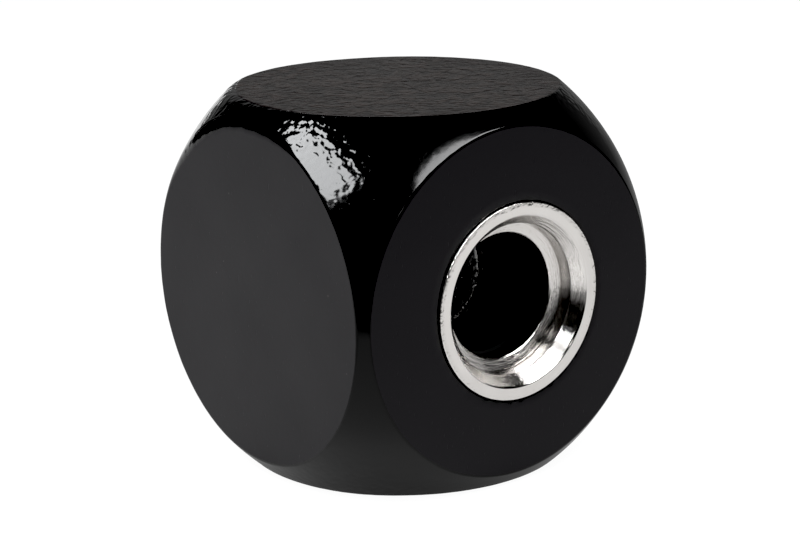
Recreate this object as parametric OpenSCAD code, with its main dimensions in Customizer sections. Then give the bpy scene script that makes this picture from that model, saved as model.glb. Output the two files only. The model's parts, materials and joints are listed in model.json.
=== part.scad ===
// Cube end knob for a round rod: a rounded wooden block with a flanged metal bush and a moulded liner in one face.
// The block stands on the face z = 0. The socket opens towards +X, on the block's middle.

/* [Block] */
// Side of the wooden cube before its corners are rounded
cube_side = 50; // [46:0.5:56]
// Diameter of the sphere that rounds the corners
rounding_d = 66.2; // [64:0.2:74]
// How far the sphere's centre sits towards the socket face
rounding_shift_x = 1.2; // [0:0.1:2]
// How far the sphere's centre sits to one side of the socket's axis
rounding_shift_y = -0.8; // [-2:0.1:2]

/* [Bush flange] */
// Diameter of the flange that rests on the wood
flange_d = 26; // [25.4:0.1:30]
// Height of the flange above the wood
flange_h = 0.3; // [0.2:0.1:1.2]
// Radius of the flange's outer edge, seen in section
flange_edge_r = 0.15; // [0.1:0.05:0.5]
// Diameter of the lip where the countersink starts
lip_d = 22.8; // [22:0.1:24]

/* [Bush recess] */
// Diameter of the recess for the larger tube of the rod
recess_d = 20; // [19.4:0.1:20.6]
// Depth below the wood face where the recess wall starts
recess_start = 1.4; // [1:0.1:1.8]
// Depth below the wood face where the recess wall ends
recess_end = 3.2; // [2.8:0.1:3.6]
// Diameter where the countersink turns into its steeper inner bevel
bevel_d = 20.2; // [20.2:0.1:21.4]
// Height of that inner bevel
bevel_h = 0.2; // [0.2:0.05:1.2]

/* [Bush shoulder and barrel] */
// Diameter of the hole through the bush
hole_d = 16.66; // [16.4:0.02:17.2]
// How far the shoulder falls between the recess and the hole
shoulder_fall = 0.4; // [0:0.1:0.8]
// Width and depth of the relief groove at the foot of the recess wall
groove = 0.15; // [0.1:0.05:0.3]
// Bevel at the edge of the hole
hole_bevel = 0.15; // [0.1:0.05:0.3]
// Outer diameter of the barrel that is pressed into the wood
barrel_d = 22.4; // [21.8:0.1:24]
// Depth of the barrel's end below the wood face
barrel_depth = 6.5; // [6:0.1:9]

/* [Liner] */
// Inner diameter of the liner, which guides the smaller tube
liner_bore_d = 16.2; // [16.1:0.02:16.4]
// Wall of the liner
liner_wall = 1.4; // [1:0.1:1.8]
// Depth of the liner's floor below the wood face
liner_floor_depth = 18.2; // [16:0.1:24]
// Thickness of the liner's floor
liner_floor = 1.6; // [1:0.1:3]
// Radius of the corner between the liner's wall and its floor
liner_corner_r = 0.7; // [0.3:0.1:1.2]
// Lead-in bevel at the liner's mouth
liner_bevel = 0.3; // [0.1:0.05:0.5]

/* [Hidden] */

$fn = 96;
half = cube_side / 2;
liner_d = liner_bore_d + 2 * liner_wall;
liner_end_depth = liner_floor_depth + liner_floor;
overshoot = 1;

// Places its children, which are drawn along +Z, in the socket: z = 0 becomes the wood face, +Z points out of it.
module in_socket() {
    translate([half, 0, half]) rotate([0, 90, 0]) children();
}

// Points of a quarter circle about [x, y], from one angle to the other, both included.
function arc(x, y, r, from, to, steps = 6) =
    [for (i = [0:steps]) let (a = from + (to - from) * i / steps) [x + r * cos(a), y + r * sin(a)]];

// Rounded wooden block with a stepped blind hole: wide for the bush, then narrow for the liner.
module block_body() {
    color([0.035, 0.033, 0.033])
    difference() {
        intersection() {
            translate([-half, -half, 0]) cube(cube_side);
            translate([rounding_shift_x, rounding_shift_y, half]) sphere(d = rounding_d);
        }
        in_socket() {
            translate([0, 0, -barrel_depth]) cylinder(d = barrel_d, h = barrel_depth + overshoot);
            translate([0, 0, -liner_end_depth]) cylinder(d = liner_d, h = liner_end_depth + overshoot);
        }
    }
}

// Turned bush. Its section runs from the barrel's end up the outside, over the flange and down the stepped hole.
module socket_bush() {
    shoulder_out = recess_d / 2 - groove;
    hole_r = hole_d / 2;
    shoulder_depth = recess_end + shoulder_fall;
    section = concat(
        [[hole_r, -barrel_depth], [barrel_d / 2, -barrel_depth], [barrel_d / 2, 0], [flange_d / 2, 0]],
        arc(flange_d / 2 - flange_edge_r, flange_h - flange_edge_r, flange_edge_r, 0, 90),
        [[lip_d / 2, flange_h],
         [bevel_d / 2, bevel_h - recess_start],
         [recess_d / 2, -recess_start],
         [recess_d / 2, -recess_end - groove],
         [shoulder_out, -recess_end - groove],
         [shoulder_out, -recess_end],
         [hole_r + hole_bevel, -shoulder_depth],
         [hole_r, -shoulder_depth - hole_bevel]]);
    color([0.78, 0.76, 0.73])
    in_socket() rotate_extrude() polygon(section);
}

// Moulded cup that closes the hole behind the bush. A rounded corner joins its wall to its flat floor.
module bore_liner() {
    bore_r = liner_bore_d / 2;
    section = concat(
        [[0, -liner_end_depth], [liner_d / 2, -liner_end_depth], [liner_d / 2, -barrel_depth],
         [bore_r + liner_bevel, -barrel_depth], [bore_r, -barrel_depth - liner_bevel]],
        arc(bore_r - liner_corner_r, liner_corner_r - liner_floor_depth, liner_corner_r, 0, -90),
        [[0, -liner_floor_depth]]);
    color([0.02, 0.02, 0.02])
    in_socket() rotate_extrude() polygon(section);
}

block_body();
socket_bush();
bore_liner();
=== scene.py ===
import json
import math

import bmesh
import bpy
import numpy as np
from mathutils import Matrix, Vector, noise


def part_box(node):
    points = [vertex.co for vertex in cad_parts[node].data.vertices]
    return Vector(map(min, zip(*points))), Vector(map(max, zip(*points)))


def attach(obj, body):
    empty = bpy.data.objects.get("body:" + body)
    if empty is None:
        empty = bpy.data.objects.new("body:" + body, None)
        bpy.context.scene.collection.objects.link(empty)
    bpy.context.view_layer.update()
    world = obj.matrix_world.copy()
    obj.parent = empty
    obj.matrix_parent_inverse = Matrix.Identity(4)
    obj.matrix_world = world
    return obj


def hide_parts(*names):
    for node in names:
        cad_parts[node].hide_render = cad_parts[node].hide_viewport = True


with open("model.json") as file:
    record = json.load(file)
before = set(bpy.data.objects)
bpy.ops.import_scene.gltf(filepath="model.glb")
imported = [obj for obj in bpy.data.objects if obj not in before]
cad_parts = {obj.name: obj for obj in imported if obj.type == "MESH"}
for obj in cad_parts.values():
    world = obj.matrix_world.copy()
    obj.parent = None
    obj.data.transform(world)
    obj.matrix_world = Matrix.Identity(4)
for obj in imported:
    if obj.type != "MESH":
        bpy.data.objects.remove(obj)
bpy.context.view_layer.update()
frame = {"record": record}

MM = 0.001

# ---------------------------------------------------------------- sizes, from the frame
block_low, block_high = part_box("block_body")
bush_low, bush_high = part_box("socket_bush")
liner_low, liner_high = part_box("bore_liner")
mounts = {m["name"]: m for m in frame["record"]["mounts"]}

HALF = (block_high.z - block_low.z) / 2
FACE_X = block_low.x + 2 * HALF                 # the wood face that the flange rests on
AXIS_Z = block_low.z + HALF                     # height of the socket's axis
FLANGE_R = (bush_high.y - bush_low.y) / 2
FLANGE_H = bush_high.x - FACE_X
BARREL_END = FACE_X - bush_low.x
LINER_R = (liner_high.y - liner_low.y) / 2
LINER_END = FACE_X - liner_low.x
LINER_BORE_R = mounts["rod_socket"]["dims"]["r_mm"] * MM
RECESS_R = mounts["tube_recess"]["dims"]["r_mm"] * MM

# The sizes below repeat the ones in the part's source that the frame doesn't hold.
ROUNDING_R = 33.1 * MM
ROUNDING_CENTRE = Vector((1.2 * MM, -0.8 * MM, AXIS_Z))
LIP_R = 11.4 * MM
BEVEL_R = 10.1 * MM
BEVEL_H = 0.2 * MM
RECESS_START = 1.4 * MM
RECESS_END = 3.2 * MM
SHOULDER_FALL = 0.4 * MM
GROOVE = 0.15 * MM
HOLE_R = 8.33 * MM
HOLE_BEVEL = 0.15 * MM
BARREL_R = 11.2 * MM
LINER_FLOOR = 18.2 * MM
LINER_CORNER_R = 0.7 * MM
LINER_BEVEL = 0.3 * MM

# Materials work in millimetres.
FACE_X_MM = FACE_X / MM
AXIS_Z_MM = AXIS_Z / MM
FLANGE_R_MM = FLANGE_R / MM


# ---------------------------------------------------------------- camera
CAMERA_AZIMUTH = math.radians(52.87)
CAMERA_ELEVATION = math.radians(14.98)
CAMERA_ROLL = math.radians(-1.03)
CAMERA_DISTANCE = 328 * MM
CAMERA_LENS = 108.85
CAMERA_SHIFT = (-0.0015, -0.0008)
CAMERA_NEAR, CAMERA_FAR = 0.01, 50


def make_camera():
    """Looks at the middle of the rounding sphere from the photograph's direction."""
    azimuth, elevation = CAMERA_AZIMUTH, CAMERA_ELEVATION
    back = Vector((math.sin(azimuth) * math.cos(elevation),
                   -math.cos(azimuth) * math.cos(elevation),
                   math.sin(elevation)))
    right = (-back).cross(Vector((0, 0, 1))).normalized()
    up = back.cross(right)
    rolled_right = right * math.cos(CAMERA_ROLL) + up * math.sin(CAMERA_ROLL)
    rolled_up = up * math.cos(CAMERA_ROLL) - right * math.sin(CAMERA_ROLL)
    data = bpy.data.cameras.new("camera")
    data.lens = CAMERA_LENS
    data.sensor_width = 36
    data.shift_x, data.shift_y = CAMERA_SHIFT
    data.clip_start, data.clip_end = CAMERA_NEAR, CAMERA_FAR
    camera = bpy.data.objects.new("camera", data)
    turn = Matrix((rolled_right, rolled_up, back)).transposed().to_4x4()
    camera.matrix_world = Matrix.Translation(ROUNDING_CENTRE + back * CAMERA_DISTANCE) @ turn
    bpy.context.collection.objects.link(camera)
    bpy.context.scene.camera = camera


make_camera()


# ---------------------------------------------------------------- node helpers
class Nodes:
    """A small writer for node trees: add() makes a node, links its inputs and returns it."""

    def __init__(self, tree):
        tree.nodes.clear()
        self.tree = tree

    def add(self, kind, inputs=None, **settings):
        node = self.tree.nodes.new(kind)
        for name, value in settings.items():
            setattr(node, name, value)
        self.feed(node, inputs or {})
        return node

    def feed(self, node, inputs):
        """Links each input whose value is a socket, and sets the others to their values."""
        for name, value in inputs.items():
            if isinstance(value, bpy.types.NodeSocket):
                self.tree.links.new(value, node.inputs[name])
            else:
                node.inputs[name].default_value = value

    def math(self, operation, first, second):
        node = self.add("ShaderNodeMath", {0: first, 1: second}, operation=operation)
        return node.outputs[0]

    def plus(self, first, second):
        return self.math("ADD", first, second)

    def times(self, first, second):
        return self.math("MULTIPLY", first, second)

    def vector(self, operation, first, second=(0.0, 0.0, 0.0)):
        node = self.add("ShaderNodeVectorMath", {0: first, 1: second}, operation=operation)
        return node.outputs["Value" if operation in ("LENGTH", "DOT_PRODUCT") else "Vector"]

    def split(self, vector):
        """The vector's X, Y and Z."""
        return tuple(self.add("ShaderNodeSeparateXYZ", {"Vector": vector}).outputs)

    def smooth(self, value, low, high, to_low=0.0, to_high=1.0):
        """to_low where value is below low, to_high above high, and a smooth step between."""
        node = self.add("ShaderNodeMapRange",
                        {"Value": value, "From Min": low, "From Max": high,
                         "To Min": to_low, "To Max": to_high},
                        interpolation_type="SMOOTHSTEP")
        return node.outputs["Result"]

    def noise(self, vector, scale, detail=2.0, roughness=0.5, distortion=0.0):
        node = self.add("ShaderNodeTexNoise",
                        {"Vector": vector, "Scale": scale, "Detail": detail,
                         "Roughness": roughness, "Distortion": distortion})
        return node.outputs["Fac"]

    def mix(self, factor, first, second):
        node = self.add("ShaderNodeMix", {"Factor": factor, "A": first, "B": second})
        return node.outputs["Result"]

    def mix_colour(self, factor, first, second):
        node = self.add("ShaderNodeMix", data_type="RGBA")
        self.feed(node, {0: factor, 6: first, 7: second})
        return node.outputs[2]

    def bump(self, height):
        """The normal that a height in millimetres gives."""
        node = self.add("ShaderNodeBump", {"Height": height, "Strength": 1.0, "Distance": MM})
        return node.outputs["Normal"]


def new_material(name):
    """(material, node writer, its Principled shader, position in millimetres, surface normal)."""
    material = bpy.data.materials.new(name)
    material.use_nodes = True
    nodes = Nodes(material.node_tree)
    shader = nodes.add("ShaderNodeBsdfPrincipled")
    nodes.add("ShaderNodeOutputMaterial", {"Surface": shader.outputs["BSDF"]})
    place = nodes.add("ShaderNodeTexCoord")
    millimetres = nodes.vector("MULTIPLY", place.outputs["Object"], (1 / MM, 1 / MM, 1 / MM))
    return material, nodes, shader, millimetres, place.outputs["Normal"]


# ---------------------------------------------------------------- materials
PLASTIC_IOR = 1.5                               # of the lacquer and the liner
PLASTIC_SPECULAR = 0.16
BLACK_GLOSS = (0.0004, 0.0004, 0.0004, 1.0)     # lacquer on the rounding
# painted sheen: the flat faces' base colour is lighter and cooler, to stand in for the haze that their satin
# finish scatters
SATIN_PAINTED_SHEEN = (0.0028, 0.0024, 0.0032, 1.0)     # lacquer on the flat faces
WOOD_THICK = (0.0026, 0.0020, 0.0018, 1.0)      # end grain under a thick coat
WOOD_THIN = (0.0098, 0.0074, 0.0065, 1.0)       # end grain under a thin coat
DUST_GREY = (0.045, 0.042, 0.040, 1.0)
PEEL_SEALED, PEEL_OPEN = 0.006, 0.130           # height of the orange peel, mm
RIPPLE_HEIGHT = 0.34                            # mm
FLECK_DEPTH = -0.02                             # mm
PORE_ROUNDING, PORE_FLAT = -0.005, -0.02        # mm


def black_lacquer():
    """Black lacquer over wood whose grain runs upright. The flat faces are satin and the rounding is glossy,
    and the flat faces' lighter base colour is painted sheen.
    The end grain at the top and bottom shows as ripples, and the sides have short upright pores."""
    material, nodes, shader, place, normal = new_material("black_lacquer")
    normal_x, normal_y, normal_z = nodes.split(normal)
    upright = nodes.math("ABSOLUTE", normal_z, 0.0)
    end_grain = nodes.smooth(upright, 0.35, 0.80)
    side = nodes.math("SUBTRACT", 1.0, end_grain)
    across = nodes.math("MAXIMUM", nodes.math("ABSOLUTE", normal_x, 0.0),
                        nodes.math("ABSOLUTE", normal_y, 0.0))
    flat = nodes.smooth(nodes.math("MAXIMUM", across, upright), 0.975, 0.998)
    level = nodes.smooth(upright, 0.98, 0.998)

    # Orange peel: round bumps a millimetre wide, strong over the top's end grain and faint near the socket.
    place_x, _, _ = nodes.split(place)
    near_socket = nodes.smooth(place_x, 19.0, 22.5)
    open_grain = nodes.smooth(normal_z, 0.35, 0.80)
    sealed_grain = nodes.times(end_grain, 0.22)
    rough_grain = nodes.times(nodes.math("MAXIMUM", open_grain, sealed_grain),
                              nodes.math("SUBTRACT", 1.0, near_socket))
    peel = nodes.noise(place, 1.15, 0.6)
    peel_height = nodes.times(peel, nodes.mix(rough_grain, PEEL_SEALED, PEEL_OPEN))

    # Ripples and flecks of the end grain under the lacquer of the top and bottom faces.
    ripple = nodes.noise(place, 0.45, 3.0, 0.55, 0.8)
    ripple_height = nodes.times(ripple, nodes.mix(level, 0.0, RIPPLE_HEIGHT))
    fleck = nodes.smooth(nodes.noise(place, 0.45, 3.0), 0.57, 0.66)
    fleck_height = nodes.times(nodes.times(fleck, level), FLECK_DEPTH)

    # Pores: short upright streaks that the lacquer hasn't filled.
    stretched = nodes.vector("MULTIPLY", place, (4.0, 4.0, 0.8))
    pores = nodes.smooth(nodes.noise(stretched, 1.0, 1.0), 0.70, 0.78)
    pore_height = nodes.times(nodes.times(pores, side), nodes.mix(flat, PORE_ROUNDING, PORE_FLAT))
    height = nodes.plus(nodes.plus(peel_height, ripple_height), nodes.plus(fleck_height, pore_height))

    # Colour: brown wood shows through the top's ripples, pale specks of dust lie on the flat faces, and the
    # flat faces' lighter, cooler base colour is painted sheen.
    cover = nodes.smooth(nodes.noise(place, 0.11, 2.0), 0.36, 0.62, 0.35, 1.0)
    shows = nodes.times(nodes.smooth(ripple, 0.38, 0.60), cover)
    shows = nodes.times(shows, nodes.math("SUBTRACT", 1.0, fleck))
    wood = nodes.mix_colour(shows, WOOD_THICK, WOOD_THIN)
    # painted sheen: the satin faces get the lighter base colour
    lacquer = nodes.mix_colour(flat, BLACK_GLOSS, SATIN_PAINTED_SHEEN)
    base = nodes.mix_colour(level, lacquer, wood)
    cells = nodes.add("ShaderNodeTexVoronoi", {"Vector": place, "Scale": 0.55, "Randomness": 1.0})
    speck = nodes.smooth(cells.outputs["Distance"], 0.03, 0.07, 1.0, 0.0)
    lottery, _, _ = nodes.split(cells.outputs["Color"])
    dust = nodes.times(speck, nodes.smooth(lottery, 0.80, 0.90))
    dust = nodes.times(dust, flat)

    patches = nodes.noise(place, 0.08, 3.0)
    gloss = nodes.plus(nodes.times(patches, 0.04), nodes.mix(rough_grain, 0.08, 0.05))
    satin = nodes.plus(nodes.times(patches, 0.12), nodes.mix(end_grain, 0.36, 0.16))

    nodes.feed(shader, {"Base Color": nodes.mix_colour(dust, base, DUST_GREY),
                        "Roughness": nodes.mix(flat, gloss, satin),
                        "Normal": nodes.bump(height),
                        "IOR": PLASTIC_IOR,
                        "Specular IOR Level": PLASTIC_SPECULAR})
    return material


NICKEL_DARK = (0.53, 0.51, 0.49, 1.0)
NICKEL_PALE = (0.60, 0.585, 0.57, 1.0)
COARSE_HEIGHT, FINE_HEIGHT, FEED_HEIGHT = 0.046, 0.034, 0.0010      # turning marks, mm
FEED_PITCH = 0.24                                                   # mm
FACED_SHARE = 0.10                              # how much of the marks the flange's flat keeps
NICK_HEIGHT = 0.16                              # mm, at the flange's edge


def nickel_plate():
    """Bright nickel over turned metal: fine uneven rings round the socket's axis."""
    material, nodes, shader, place, _ = new_material("nickel_plate")
    centred = nodes.vector("SUBTRACT", place, (0.0, 0.0, AXIS_Z_MM))
    place_x, _, _ = nodes.split(centred)
    radius = nodes.vector("LENGTH", nodes.vector("MULTIPLY", centred, (0.0, 1.0, 1.0)))
    along = nodes.plus(radius, place_x)

    def rings(per_mm, round_per_mm, detail, roughness):
        """Noise that changes quickly along the section and slowly round the axis."""
        quick = nodes.add("ShaderNodeCombineXYZ", {"X": nodes.times(along, per_mm)}).outputs["Vector"]
        slow = nodes.vector("MULTIPLY", centred, (0.0, round_per_mm, round_per_mm))
        return nodes.noise(nodes.vector("ADD", quick, slow), 1.0, detail, roughness)

    coarse = rings(4.5, 0.30, 1.0, 0.5)
    fine = rings(11.0, 0.9, 2.0, 0.6)
    feed = nodes.math("SINE", nodes.times(along, 2 * math.pi / FEED_PITCH), 0.0)
    marks = nodes.plus(nodes.times(coarse, COARSE_HEIGHT), nodes.times(fine, FINE_HEIGHT))
    marks = nodes.plus(marks, nodes.times(feed, FEED_HEIGHT))

    # The flange's flat was faced smoother than the hole below it. Its edge is nicked and duller.
    bored = nodes.smooth(place_x, FACE_X_MM, FACE_X_MM + 0.28, 1.0, FACED_SHARE)
    edge = nodes.smooth(radius, FLANGE_R_MM - 0.75, FLANGE_R_MM - 0.35)
    lumps = nodes.math("SUBTRACT", nodes.noise(centred, 1.4, 2.0), 0.5)
    nicks = nodes.times(nodes.times(lumps, edge), NICK_HEIGHT)
    height = nodes.plus(nodes.times(marks, bored), nicks)

    tone = nodes.noise(centred, 0.25, 2.0)
    turned = nodes.plus(nodes.times(fine, 0.10), 0.04)
    nodes.feed(shader, {"Base Color": nodes.mix_colour(tone, NICKEL_DARK, NICKEL_PALE),
                        "Roughness": nodes.mix(edge, turned, 0.24),
                        "Normal": nodes.bump(height),
                        "Metallic": 1.0})
    return material


PLASTIC_DARK = (0.0003, 0.0003, 0.0003, 1.0)
PLASTIC_PALE = (0.0009, 0.0008, 0.0007, 1.0)
MOULD_HEIGHT = 0.010                            # mm
GLUE_HEIGHT = 0.35                              # mm
GLUE_ROUGHNESS = 0.05
GLUE_IOR = 2.2                                  # above real glue's, so that its glint shows


def black_plastic():
    """Dull moulded plastic. Glue that has run to the foot of the wall on one side stays glossy."""
    material, nodes, shader, place, _ = new_material("black_plastic")
    place_x, place_y, place_z = nodes.split(place)
    texture = nodes.noise(place, 2.2, 3.0)

    deep = nodes.smooth(place_x, FACE_X_MM - 17.2, FACE_X_MM - 16.2, 1.0, 0.0)
    one_side = nodes.smooth(place_y, 3.0, 4.5)
    low = nodes.smooth(place_z, 25.0, 29.0, 1.0, 0.0)
    glue = nodes.times(deep, nodes.times(one_side, low))
    lumps = nodes.noise(place, 0.9, 2.0)
    height = nodes.plus(nodes.times(texture, MOULD_HEIGHT),
                        nodes.times(nodes.times(lumps, glue), GLUE_HEIGHT))
    bump = nodes.bump(height)

    mouth = nodes.smooth(place_x, FACE_X_MM - 7.3, FACE_X_MM - 6.9)
    dull = nodes.plus(nodes.times(texture, 0.12), nodes.mix(mouth, 0.62, 0.88))
    nodes.feed(shader, {"Base Color": nodes.mix_colour(texture, PLASTIC_DARK, PLASTIC_PALE),
                        "Roughness": nodes.mix(glue, dull, 0.30),
                        "Normal": bump,
                        "IOR": PLASTIC_IOR,
                        "Specular IOR Level": PLASTIC_SPECULAR,
                        "Coat Weight": glue,
                        "Coat Roughness": GLUE_ROUGHNESS,
                        "Coat IOR": GLUE_IOR,
                        "Coat Normal": bump})
    return material


# ---------------------------------------------------------------- mesh helpers
MERGE_DISTANCE = 1e-6


def mesh_object(name, points, faces, material, sharp_degrees):
    """A smooth-shaded mesh object whose double points are merged and whose normals face out."""
    data = bpy.data.meshes.new(name)
    data.from_pydata([tuple(p) for p in points], [], faces)
    work = bmesh.new()
    work.from_mesh(data)
    bmesh.ops.remove_doubles(work, verts=work.verts, dist=MERGE_DISTANCE)
    bmesh.ops.recalc_face_normals(work, faces=work.faces)
    work.to_mesh(data)
    work.free()
    data.shade_smooth()
    data.set_sharp_from_angle(angle=math.radians(sharp_degrees))
    data.materials.append(material)
    made = bpy.data.objects.new(name, data)
    bpy.context.collection.objects.link(made)
    return made


def arc(centre, radius, start, end, steps):
    """Points of an arc in a (radius from the axis, height along it) section, angles in degrees."""
    angles = np.radians(np.linspace(start, end, steps + 1))
    return [(centre[0] + radius * math.cos(a), centre[1] + radius * math.sin(a)) for a in angles]


def soften(corners, steps):
    """A section with each corner (radius, height, rounding) replaced by a small arc of that rounding."""
    longest_share = 0.45      # an arc takes at most this share of the sides next to it
    out = []
    for index, (r, h, rounding) in enumerate(corners):
        if not rounding:
            out.append((r, h))
            continue
        here = Vector((r, h))
        before = Vector(corners[index - 1][:2]) - here
        after = Vector(corners[(index + 1) % len(corners)][:2]) - here
        reach = min(rounding, before.length * longest_share, after.length * longest_share)
        first = here + before.normalized() * reach
        last = here + after.normalized() * reach
        for step in range(steps + 1):
            t = step / steps
            point = first * (1 - t) ** 2 + here * 2 * t * (1 - t) + last * t ** 2
            out.append((point.x, point.y))
    return out


def densify(section, longest):
    """The closed section with points added so that no stretch is longer than that."""
    out = []
    for index, point in enumerate(section):
        start, end = Vector(point), Vector(section[(index + 1) % len(section)])
        count = max(1, math.ceil((end - start).length / longest))
        out += [tuple(start.lerp(end, step / count)) for step in range(count)]
    return out


def lathe(name, section, material, segments, sharp_degrees):
    """Turns a closed section of (radius, height above the wood face) about the socket's axis."""
    points, faces = [], []
    count = len(section)
    for turn in range(segments):
        angle = 2 * math.pi * turn / segments
        for r, h in section:
            points.append((FACE_X + h, r * math.cos(angle), AXIS_Z + r * math.sin(angle)))
        following = (turn + 1) % segments
        for index in range(count):
            nxt = (index + 1) % count
            if section[index][0] == 0 and section[nxt][0] == 0:
                continue
            corners = [turn * count + index, turn * count + nxt,
                       following * count + nxt, following * count + index]
            if section[nxt][0] == 0:
                corners.pop(2)
            elif section[index][0] == 0:
                corners.pop(3)
            faces.append(corners)
    return mesh_object(name, points, faces, material, sharp_degrees)


def smooth_step(value, low, high):
    """0 where value is below low, 1 above high, and a smooth step between."""
    share = min(max((value - low) / (high - low), 0.0), 1.0)
    return share * share * (3 - 2 * share)


def wobble(point, size, seed):
    """Smooth noise from -1 to 1 that changes over about size metres."""
    return noise.noise(point / size + Vector((seed, seed * 1.7, -seed)))


# ---------------------------------------------------------------- block
SIDE_STEPS = 72                                 # points along each side of a face's outer loop
FILLET_R = 0.65 * MM                            # softened edge between a flat face and the sphere
FILLET_STEPS = 8
# Where the loops lie from a face's middle to its rim, and from the rim to the cube's edge.
FLAT_SHARES = (0.12, 0.3, 0.5, 0.68, 0.82, 0.92, 0.975, 0.997)
ROUNDING_SHARES = (0.04, 0.12, 0.24, 0.4, 0.6, 0.8, 1.0)
INNER_LOOP_R = 9 * MM
RIM_TURN = math.radians(43)                     # from a face's axis to its rim, at the sphere's middle

# Uneven work by hand: each row is a share or height, the size it changes over, and a seed.
RIM_LONG = (0.25, 4 * MM, 3.1)
RIM_SHORT = (0.30, 1.3 * MM, 9.4)
WORN_COMB = (0.22, 1.1 * MM, 5.2)
MOAT_RAGGED = (0.55, 0.9 * MM, 2.6)
OUTSIDE_UNEVEN = (0.018 * MM, 11 * MM, 7.3)
OUTSIDE_FROM = 0.62 * HALF                      # points nearer the middle than this are inside the socket

# The rounding stands a little higher at the corner -X -Y: most at the top, and slightly at every height.
LEFT_RISE = 0.72 * MM
LEFT_SWELL = 0.03 * MM
WORN_DIRECTION = Vector((-0.20, -0.73, 0.65)).normalized()
WORN_EXTRA = 2.6 * MM

MOAT_W = 0.30 * MM                              # shallow ring in the lacquer round the flange
MOAT_DEPTH = 0.14 * MM
HOLE_CLEARANCE = 0.01 * MM                      # of the hole's step below the barrel's end
BLOCK_SHARP_DEGREES = 60


def loop_angles():
    """Azimuths of the points of one loop round a face, a corner of the outer square first."""
    count = 4 * SIDE_STEPS
    return [-math.pi / 4 + 2 * math.pi * i / count for i in range(count)]


def rounding_radius(direction):
    """Distance from the rounding's centre to its surface in that direction."""
    share = smooth_step(-(0.60 * direction.x + 0.80 * direction.y), 0.15, 0.60)
    return ROUNDING_R + share * (LEFT_RISE * direction.z * abs(direction.z) + LEFT_SWELL)


def worn_edge(direction):
    """Extra rounding of the rim where it was sanded most: at the top of the -Y face."""
    share = smooth_step(direction.dot(WORN_DIRECTION), 0.86, 0.97)
    strength, size, seed = WORN_COMB
    return WORN_EXTRA * share * (1 + strength * wobble(direction * ROUNDING_R, size, seed))


def rim_softness(direction):
    """Radius of the softened rim in that direction."""
    on_rim = direction * ROUNDING_R
    uneven = [share * wobble(on_rim, size, seed) for share, size, seed in (RIM_LONG, RIM_SHORT)]
    return FILLET_R * (1 + uneven[0] + uneven[1]) + worn_edge(direction)


def block_section(plane, azimuth, edge_round, radius):
    """Outline from the flat face to the rounding at one azimuth. First the softened edge, as (distance out
    along the face's axis, radius) pairs, then the angles from the axis of the points on the rounding."""
    deep = plane - edge_round
    wide = math.sqrt((radius - edge_round) ** 2 - deep ** 2)
    top = math.atan2(wide, deep)
    edge = []
    for step in range(FILLET_STEPS + 1):
        a = top * step / FILLET_STEPS
        edge.append((deep + edge_round * math.cos(a), wide + edge_round * math.sin(a)))
    square = 1 / max(abs(math.cos(azimuth)), abs(math.sin(azimuth)))
    outer = math.atan(square)
    return edge, [top + (outer - top) * share for share in ROUNDING_SHARES]


def face_loops(axis, side_one, side_two, plane, hole):
    """Loops of points round one face, inside first. hole holds the socket's loops, or None for a plain
    face."""
    angles = loop_angles()

    def around(a):
        return side_one * math.cos(a) + side_two * math.sin(a)

    def outward(turn, a):
        """Direction that leans away from the face's axis by turn, towards azimuth a."""
        return axis * math.cos(turn) + around(a) * math.sin(turn)

    def place(out, r, a):
        return ROUNDING_CENTRE + axis * out + around(a) * r

    softened, rounded = [], []
    for a in angles:
        to_rim = outward(RIM_TURN, a)
        edge, turns = block_section(plane, a, rim_softness(to_rim), rounding_radius(to_rim))
        directions = [outward(turn, a) for turn in turns]
        softened.append(edge)
        rounded.append([ROUNDING_CENTRE + way * rounding_radius(way) for way in directions])

    loops = list(hole) if hole else [[place(plane, INNER_LOOP_R, a) for a in angles]]
    start = loops[-1]
    rim = [place(plane, softened[i][0][1], a) for i, a in enumerate(angles)]
    for share in FLAT_SHARES:
        loops.append([inner.lerp(outer, share) for inner, outer in zip(start, rim)])
    for step in range(FILLET_STEPS + 1):
        loops.append([place(softened[i][step][0], softened[i][step][1], a) for i, a in enumerate(angles)])
    for step in range(len(ROUNDING_SHARES)):
        loops.append([rounded[i][step] for i in range(len(angles))])
    return loops


def socket_loops(angles):
    """Loops of the stepped blind hole in the wood, from its floor up to the flat face."""
    step_depth = BARREL_END + HOLE_CLEARANCE
    under_flange = 0.02 * MM
    rings = [(0.5 * LINER_R, -LINER_END),
             (LINER_R, -LINER_END),
             (LINER_R, -step_depth),
             (BARREL_R - 0.1 * MM, -step_depth),
             (BARREL_R, -BARREL_END),
             (BARREL_R, -0.3 * MM),
             (BARREL_R + 0.1 * MM, -under_flange),
             (FLANGE_R - 0.4 * MM, -under_flange),
             (FLANGE_R - 0.1 * MM, -MOAT_DEPTH),
             (FLANGE_R + 0.1 * MM, -MOAT_DEPTH)]
    loops = [[Vector((FACE_X + h, r * math.cos(a), AXIS_Z + r * math.sin(a))) for a in angles]
             for r, h in rings]
    # The moat's outer wall is ragged.
    strength, size, seed = MOAT_RAGGED
    for share, h in ((0.6, -0.35 * MOAT_DEPTH), (1.0, 0.0)):
        wall = []
        for a in angles:
            around = Vector((0.0, math.cos(a), math.sin(a)))
            width = MOAT_W * (1 + strength * wobble(around * FLANGE_R, size, seed))
            wall.append(Vector((FACE_X + h, 0.0, AXIS_Z)) + around * (FLANGE_R + share * width))
        loops.append(wall)
    return loops


def loop_faces(loops, base):
    """Faces between each loop and the next. The first loop's first point's number is base."""
    count = len(loops[0])
    faces = []
    for level in range(len(loops) - 1):
        near = base + level * count
        far = near + count
        for i in range(count):
            j = (i + 1) % count
            faces.append((near + i, near + j, far + j, far + i))
    return faces


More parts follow.
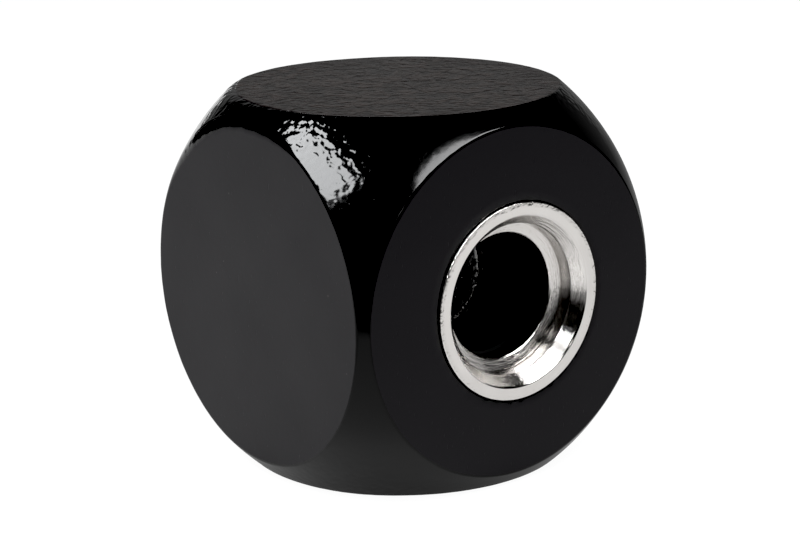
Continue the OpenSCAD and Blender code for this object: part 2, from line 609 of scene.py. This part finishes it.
def centre_grid(loop, base):
    """Points and faces that fill a loop with an even grid of squares. The first point's number is base."""
    n = SIDE_STEPS
    middle = sum(loop, Vector()) / len(loop)
    reach = (loop[0] - middle).length
    one = (loop[n // 2] - middle).normalized()
    two = (loop[n + n // 2] - middle).normalized()
    points = []
    for row in range(n + 1):
        for column in range(n + 1):
            u, v = 2 * column / n - 1, 2 * row / n - 1
            size = max(abs(u), abs(v))
            if size == 0:
                points.append(middle.copy())
                continue
            turned = abs(u) >= abs(v)
            angle = math.pi / 4 * (v / u if turned else u / v)
            near, far = math.cos(angle) * size * reach, math.sin(angle) * size * reach
            if turned:
                points.append(middle + one * math.copysign(near, u) + two * math.copysign(far, v))
            else:
                points.append(middle + two * math.copysign(near, v) + one * math.copysign(far, u))
    faces = []
    for row in range(n):
        for column in range(n):
            corner = base + row * (n + 1) + column
            above = corner + n + 1
            faces.append((corner, corner + 1, above + 1, above))
    return points, faces


def make_uneven(points):
    """Hand finishing leaves the faces and the rounding very slightly uneven, but not the socket."""
    strength, size, seed = OUTSIDE_UNEVEN
    for point in points:
        offset = point - ROUNDING_CENTRE
        on_outside = max(abs(point.x), abs(point.y), abs(point.z - AXIS_Z)) > OUTSIDE_FROM
        in_socket = math.hypot(point.y, point.z - AXIS_Z) < FLANGE_R + 1.6 * MOAT_W and point.x > 0
        if on_outside and not in_socket:
            point += offset.normalized() * strength * wobble(point, size, seed)


def make_block(material):
    """The rounded cube: loops of points round each face that meet on the sphere."""
    x, y, z = Vector((1, 0, 0)), Vector((0, 1, 0)), Vector((0, 0, 1))
    points, faces = [], []
    for axis, one, two in ((x, y, z), (-x, z, y), (y, z, x), (-y, x, z), (z, x, y), (-z, y, x)):
        plane = HALF - (ROUNDING_CENTRE - Vector((0, 0, AXIS_Z))).dot(axis)
        hole = socket_loops(loop_angles()) if axis == x else None
        loops = face_loops(axis, one, two, plane, hole)
        faces += loop_faces(loops, len(points))
        for loop in loops:
            points += loop
        grid_points, grid_faces = centre_grid(loops[0], len(points))
        points += grid_points
        faces += grid_faces
    make_uneven(points)
    block = mesh_object("block", points, faces, material, BLOCK_SHARP_DEGREES)
    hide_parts("block_body")
    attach(block, "root")
    return block


# ---------------------------------------------------------------- bush and liner
BUSH_SEGMENTS = 256
BUSH_EDGE_STEPS = 6
BUSH_STRETCH = 0.4 * MM                         # longest stretch of the bush's section
LINER_SEGMENTS = 128
LINER_CORNER_STEPS = 8
LINER_STRETCH = 1.2 * MM
TURNED_SHARP_DEGREES = 35


def make_bush(material):
    """The turned bush, with most of its edges broken as a turned and plated edge is."""
    shoulder_out = RECESS_R - GROOVE
    shoulder_low = RECESS_END + SHOULDER_FALL
    corners = [
        (HOLE_R, -BARREL_END, 0.1 * MM),
        (BARREL_R, -BARREL_END, 0.1 * MM),
        (BARREL_R, 0.0, 0.0),
        (FLANGE_R, 0.0, 0.06 * MM),
        (FLANGE_R, FLANGE_H, 0.15 * MM),
        (LIP_R, FLANGE_H, 0.10 * MM),
        (BEVEL_R, BEVEL_H - RECESS_START, 0.08 * MM),
        (RECESS_R, -RECESS_START, 0.08 * MM),
        (RECESS_R, -RECESS_END - GROOVE, 0.0),
        (shoulder_out, -RECESS_END - GROOVE, 0.0),
        (shoulder_out, -RECESS_END, 0.05 * MM),
        (HOLE_R + HOLE_BEVEL, -shoulder_low, 0.04 * MM),
        (HOLE_R, -shoulder_low - HOLE_BEVEL, 0.04 * MM),
    ]
    section = densify(soften(corners, BUSH_EDGE_STEPS), BUSH_STRETCH)
    bush = lathe("bush", section, material, BUSH_SEGMENTS, TURNED_SHARP_DEGREES)
    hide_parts("socket_bush")
    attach(bush, "root")
    return bush


def make_liner(material):
    """The moulded cup behind the bush."""
    corner_centre = (LINER_BORE_R - LINER_CORNER_R, LINER_CORNER_R - LINER_FLOOR)
    section = [(0.0, -LINER_END), (LINER_R, -LINER_END), (LINER_R, -BARREL_END),
               (LINER_BORE_R + LINER_BEVEL, -BARREL_END), (LINER_BORE_R, -BARREL_END - LINER_BEVEL)]
    section += arc(corner_centre, LINER_CORNER_R, 0, -90, LINER_CORNER_STEPS)
    section += [(0.0, -LINER_FLOOR)]
    section = densify(section, LINER_STRETCH)
    liner = lathe("liner", section, material, LINER_SEGMENTS, TURNED_SHARP_DEGREES)
    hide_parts("bore_liner")
    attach(liner, "root")
    return liner


make_block(black_lacquer())
make_bush(nickel_plate())
make_liner(black_plastic())


# ---------------------------------------------------------------- studio
FLOOR_HALF = 4.0
FLOOR_GAP = 0.02 * MM                           # between the block and the floor
FLOOR_WHITE = 0.97                              # the floor that the camera sees, before its shading is added
FLOOR_COLOUR = (0.04, 0.04, 0.04, 1.0)
# Painted light: brightness painted into the floor's glow to the right and left of the block, as the object
# reflects it.
RIGHT_SHEET = 1.06
LEFT_SHEET = 1.14
LEFT_SHEET_NEAR = 0.62 * LEFT_SHEET
TO_FRONT = (math.sin(CAMERA_AZIMUTH), -math.cos(CAMERA_AZIMUTH), 0.0)
TO_RIGHT = (math.cos(CAMERA_AZIMUTH), math.sin(CAMERA_AZIMUTH), 0.0)
TO_BACK = (-TO_FRONT[0], -TO_FRONT[1], 0.0)
TO_REAR_RIGHT = (-0.15, 0.98, 0.12)
ROOM_DARK = 0.004
ROOM_SEEN = 1.05                                # what the camera sees of the room
BACKDROP_GLOW = 0.21
REAR_RIGHT_GLOW = 0.10
BLACK_LEVEL = 0.009
WHITE = (1.0, 1.0, 1.0)
COOL_WHITE = (0.97, 0.985, 1.0)
DAYLIGHT = (0.985, 0.99, 1.0)
SOFTBOX_DISTANCE = 0.55


def painted_reflected_glow(nodes):
    """Painted glow of the pale sheet that the block stands on, as the object reflects it, by distance in
    front of the block and to its right: painted light to the left and right, dim in front, dark beyond the
    sheet's edge, and a painted shadow round the block's foot."""
    place = nodes.add("ShaderNodeTexCoord").outputs["Object"]
    front = nodes.vector("DOT_PRODUCT", place, TO_FRONT)
    right = nodes.vector("DOT_PRODUCT", place, TO_RIGHT)

    # painted light: this glow's strength stands in for how the sheet is lit, brighter at the sides and
    # dimmer in front
    near = nodes.smooth(front, 0.030, 0.110, 1.30, 1.10)
    far = nodes.smooth(front, 0.105, 0.150, 1.0, 0.15)
    behind = nodes.smooth(front, -0.060, -0.020, 0.15, 1.0)
    to_left = nodes.smooth(right, -0.050, -0.022, 0.72, 1.0)
    to_right = nodes.smooth(right, 0.0, 0.040, 1.0, 0.75)
    ahead = nodes.times(nodes.times(near, far), behind)
    middle = nodes.times(ahead, nodes.times(to_left, to_right))

    right_start = nodes.smooth(right, 0.035, 0.065, 0.0, RIGHT_SHEET)
    right_rear = nodes.smooth(front, 0.014, 0.040, 0.10, 1.0)
    right_far_rear = nodes.smooth(front, -0.20, -0.05, 0.35, 1.0)
    right_end = nodes.smooth(front, 0.080, 0.120, 1.0, 0.0)
    right_side = nodes.times(right_start, nodes.times(right_rear, right_far_rear))

    left_start = nodes.smooth(right, -0.130, -0.025, LEFT_SHEET, LEFT_SHEET_NEAR)
    left_front = nodes.smooth(front, -0.050, 0.015, 1.0, 1.6)
    left_limit = nodes.smooth(right, -0.025, 0.0, 1.0, 0.0)
    left_end = nodes.smooth(front, 0.030, 0.090, 1.0, 0.0)
    left_side = nodes.times(left_start, nodes.times(left_front, left_limit))

    sides = nodes.plus(nodes.times(right_side, right_end), nodes.times(left_side, left_end))
    from_block = nodes.vector("LENGTH", nodes.vector("MULTIPLY", place, (1.0, 1.0, 0.0)))
    # painted shadow: the floor's glow is darkened under and round the block's foot, where shade would fall
    painted_contact_shadow = nodes.smooth(from_block, 0.019, 0.034, 0.06, 1.0)
    return nodes.times(nodes.math("MAXIMUM", middle, sides), painted_contact_shadow)


def floor_material():
    """Pale matt floor. The camera sees it evenly white, and the object reflects an uneven painted glow:
    painted light on the sheet and a painted shadow under the block.
    """
    material = bpy.data.materials.new("pale_floor")
    material.use_nodes = True
    nodes = Nodes(material.node_tree)
    painted_glow = painted_reflected_glow(nodes)
    path = nodes.add("ShaderNodeLightPath")
    strength = nodes.mix(path.outputs["Is Camera Ray"], painted_glow, FLOOR_WHITE)
    matt = nodes.add("ShaderNodeBsdfDiffuse", {"Color": FLOOR_COLOUR})
    glow = nodes.add("ShaderNodeEmission", {"Color": (*WHITE, 1.0), "Strength": strength})
    both = nodes.add("ShaderNodeAddShader", {0: matt.outputs[0], 1: glow.outputs[0]})
    nodes.add("ShaderNodeOutputMaterial", {"Surface": both.outputs[0]})
    return material


def make_floor():
    """A level square just under the block."""
    height = block_low.z - FLOOR_GAP
    points = [(-FLOOR_HALF, -FLOOR_HALF, height), (FLOOR_HALF, -FLOOR_HALF, height),
              (FLOOR_HALF, FLOOR_HALF, height), (-FLOOR_HALF, FLOOR_HALF, height)]
    data = bpy.data.meshes.new("floor")
    data.from_pydata(points, [], [(0, 1, 2, 3)])
    data.materials.append(floor_material())
    floor = bpy.data.objects.new("floor", data)
    bpy.context.collection.objects.link(floor)


def softbox(name, direction, size, radiance, colour, turn=0.0, oval=False):
    """A light of that radiance that faces the middle of the block from that direction. turn is about the
    light's own axis."""
    data = bpy.data.lights.new(name, "AREA")
    data.shape = "ELLIPSE" if oval else "RECTANGLE"
    data.size, data.size_y = size
    area = size[0] * size[1] * (math.pi / 4 if oval else 1.0)
    data.energy = radiance * math.pi * area
    data.color = colour
    light = bpy.data.objects.new(name, data)
    toward = Vector(direction).normalized()
    light.location = Vector((0, 0, AXIS_Z)) + toward * SOFTBOX_DISTANCE
    facing = toward.to_track_quat("Z", "Y").to_matrix() @ Matrix.Rotation(turn, 3, "Z")
    light.rotation_euler = facing.to_euler()
    bpy.context.collection.objects.link(light)


def make_world():
    """A dark room with a dim backdrop behind the object. The camera sees it pale."""
    world = bpy.data.worlds.new("room")
    world.use_nodes = True
    bpy.context.scene.world = world
    nodes = Nodes(world.node_tree)
    direction = nodes.add("ShaderNodeTexCoord").outputs["Generated"]
    behind = nodes.vector("DOT_PRODUCT", direction, TO_BACK)
    backdrop = nodes.smooth(behind, 0.82, 0.95, ROOM_DARK, BACKDROP_GLOW)
    rear_right = nodes.vector("DOT_PRODUCT", direction, TO_REAR_RIGHT)
    grey = nodes.math("MAXIMUM", backdrop, nodes.smooth(rear_right, 0.88, 0.97, 0.0, REAR_RIGHT_GLOW))
    path = nodes.add("ShaderNodeLightPath")
    seen = nodes.mix(path.outputs["Is Camera Ray"], grey, ROOM_SEEN)
    back = nodes.add("ShaderNodeBackground", {"Color": (*WHITE, 1.0), "Strength": seen})
    nodes.add("ShaderNodeOutputWorld", {"Surface": back.outputs[0]})


def set_view():
    """Plain colour, with black raised a little."""
    view = bpy.context.scene.view_settings
    view.view_transform = "Standard"
    view.look = "None"
    view.use_curve_mapping = True
    view.curve_mapping.black_level = (BLACK_LEVEL, BLACK_LEVEL, BLACK_LEVEL)
    view.curve_mapping.update()


def make_studio():
    """Floor, two large softboxes, a small one for the glints in the socket, the room and the view."""
    make_floor()
    softbox("key_softbox", direction=(-0.085, -0.616, 0.807), size=(0.39, 0.150), radiance=38.0,
            colour=COOL_WHITE, turn=math.radians(-12))
    softbox("right_softbox", direction=(0.566, 0.125, 0.812), size=(0.50, 0.172), radiance=25.0,
            colour=DAYLIGHT, oval=True)
    softbox("front_softbox", direction=(0.737, -0.386, 0.555), size=(0.045, 0.045), radiance=9.0,
            colour=WHITE)
    make_world()
    set_view()


make_studio()
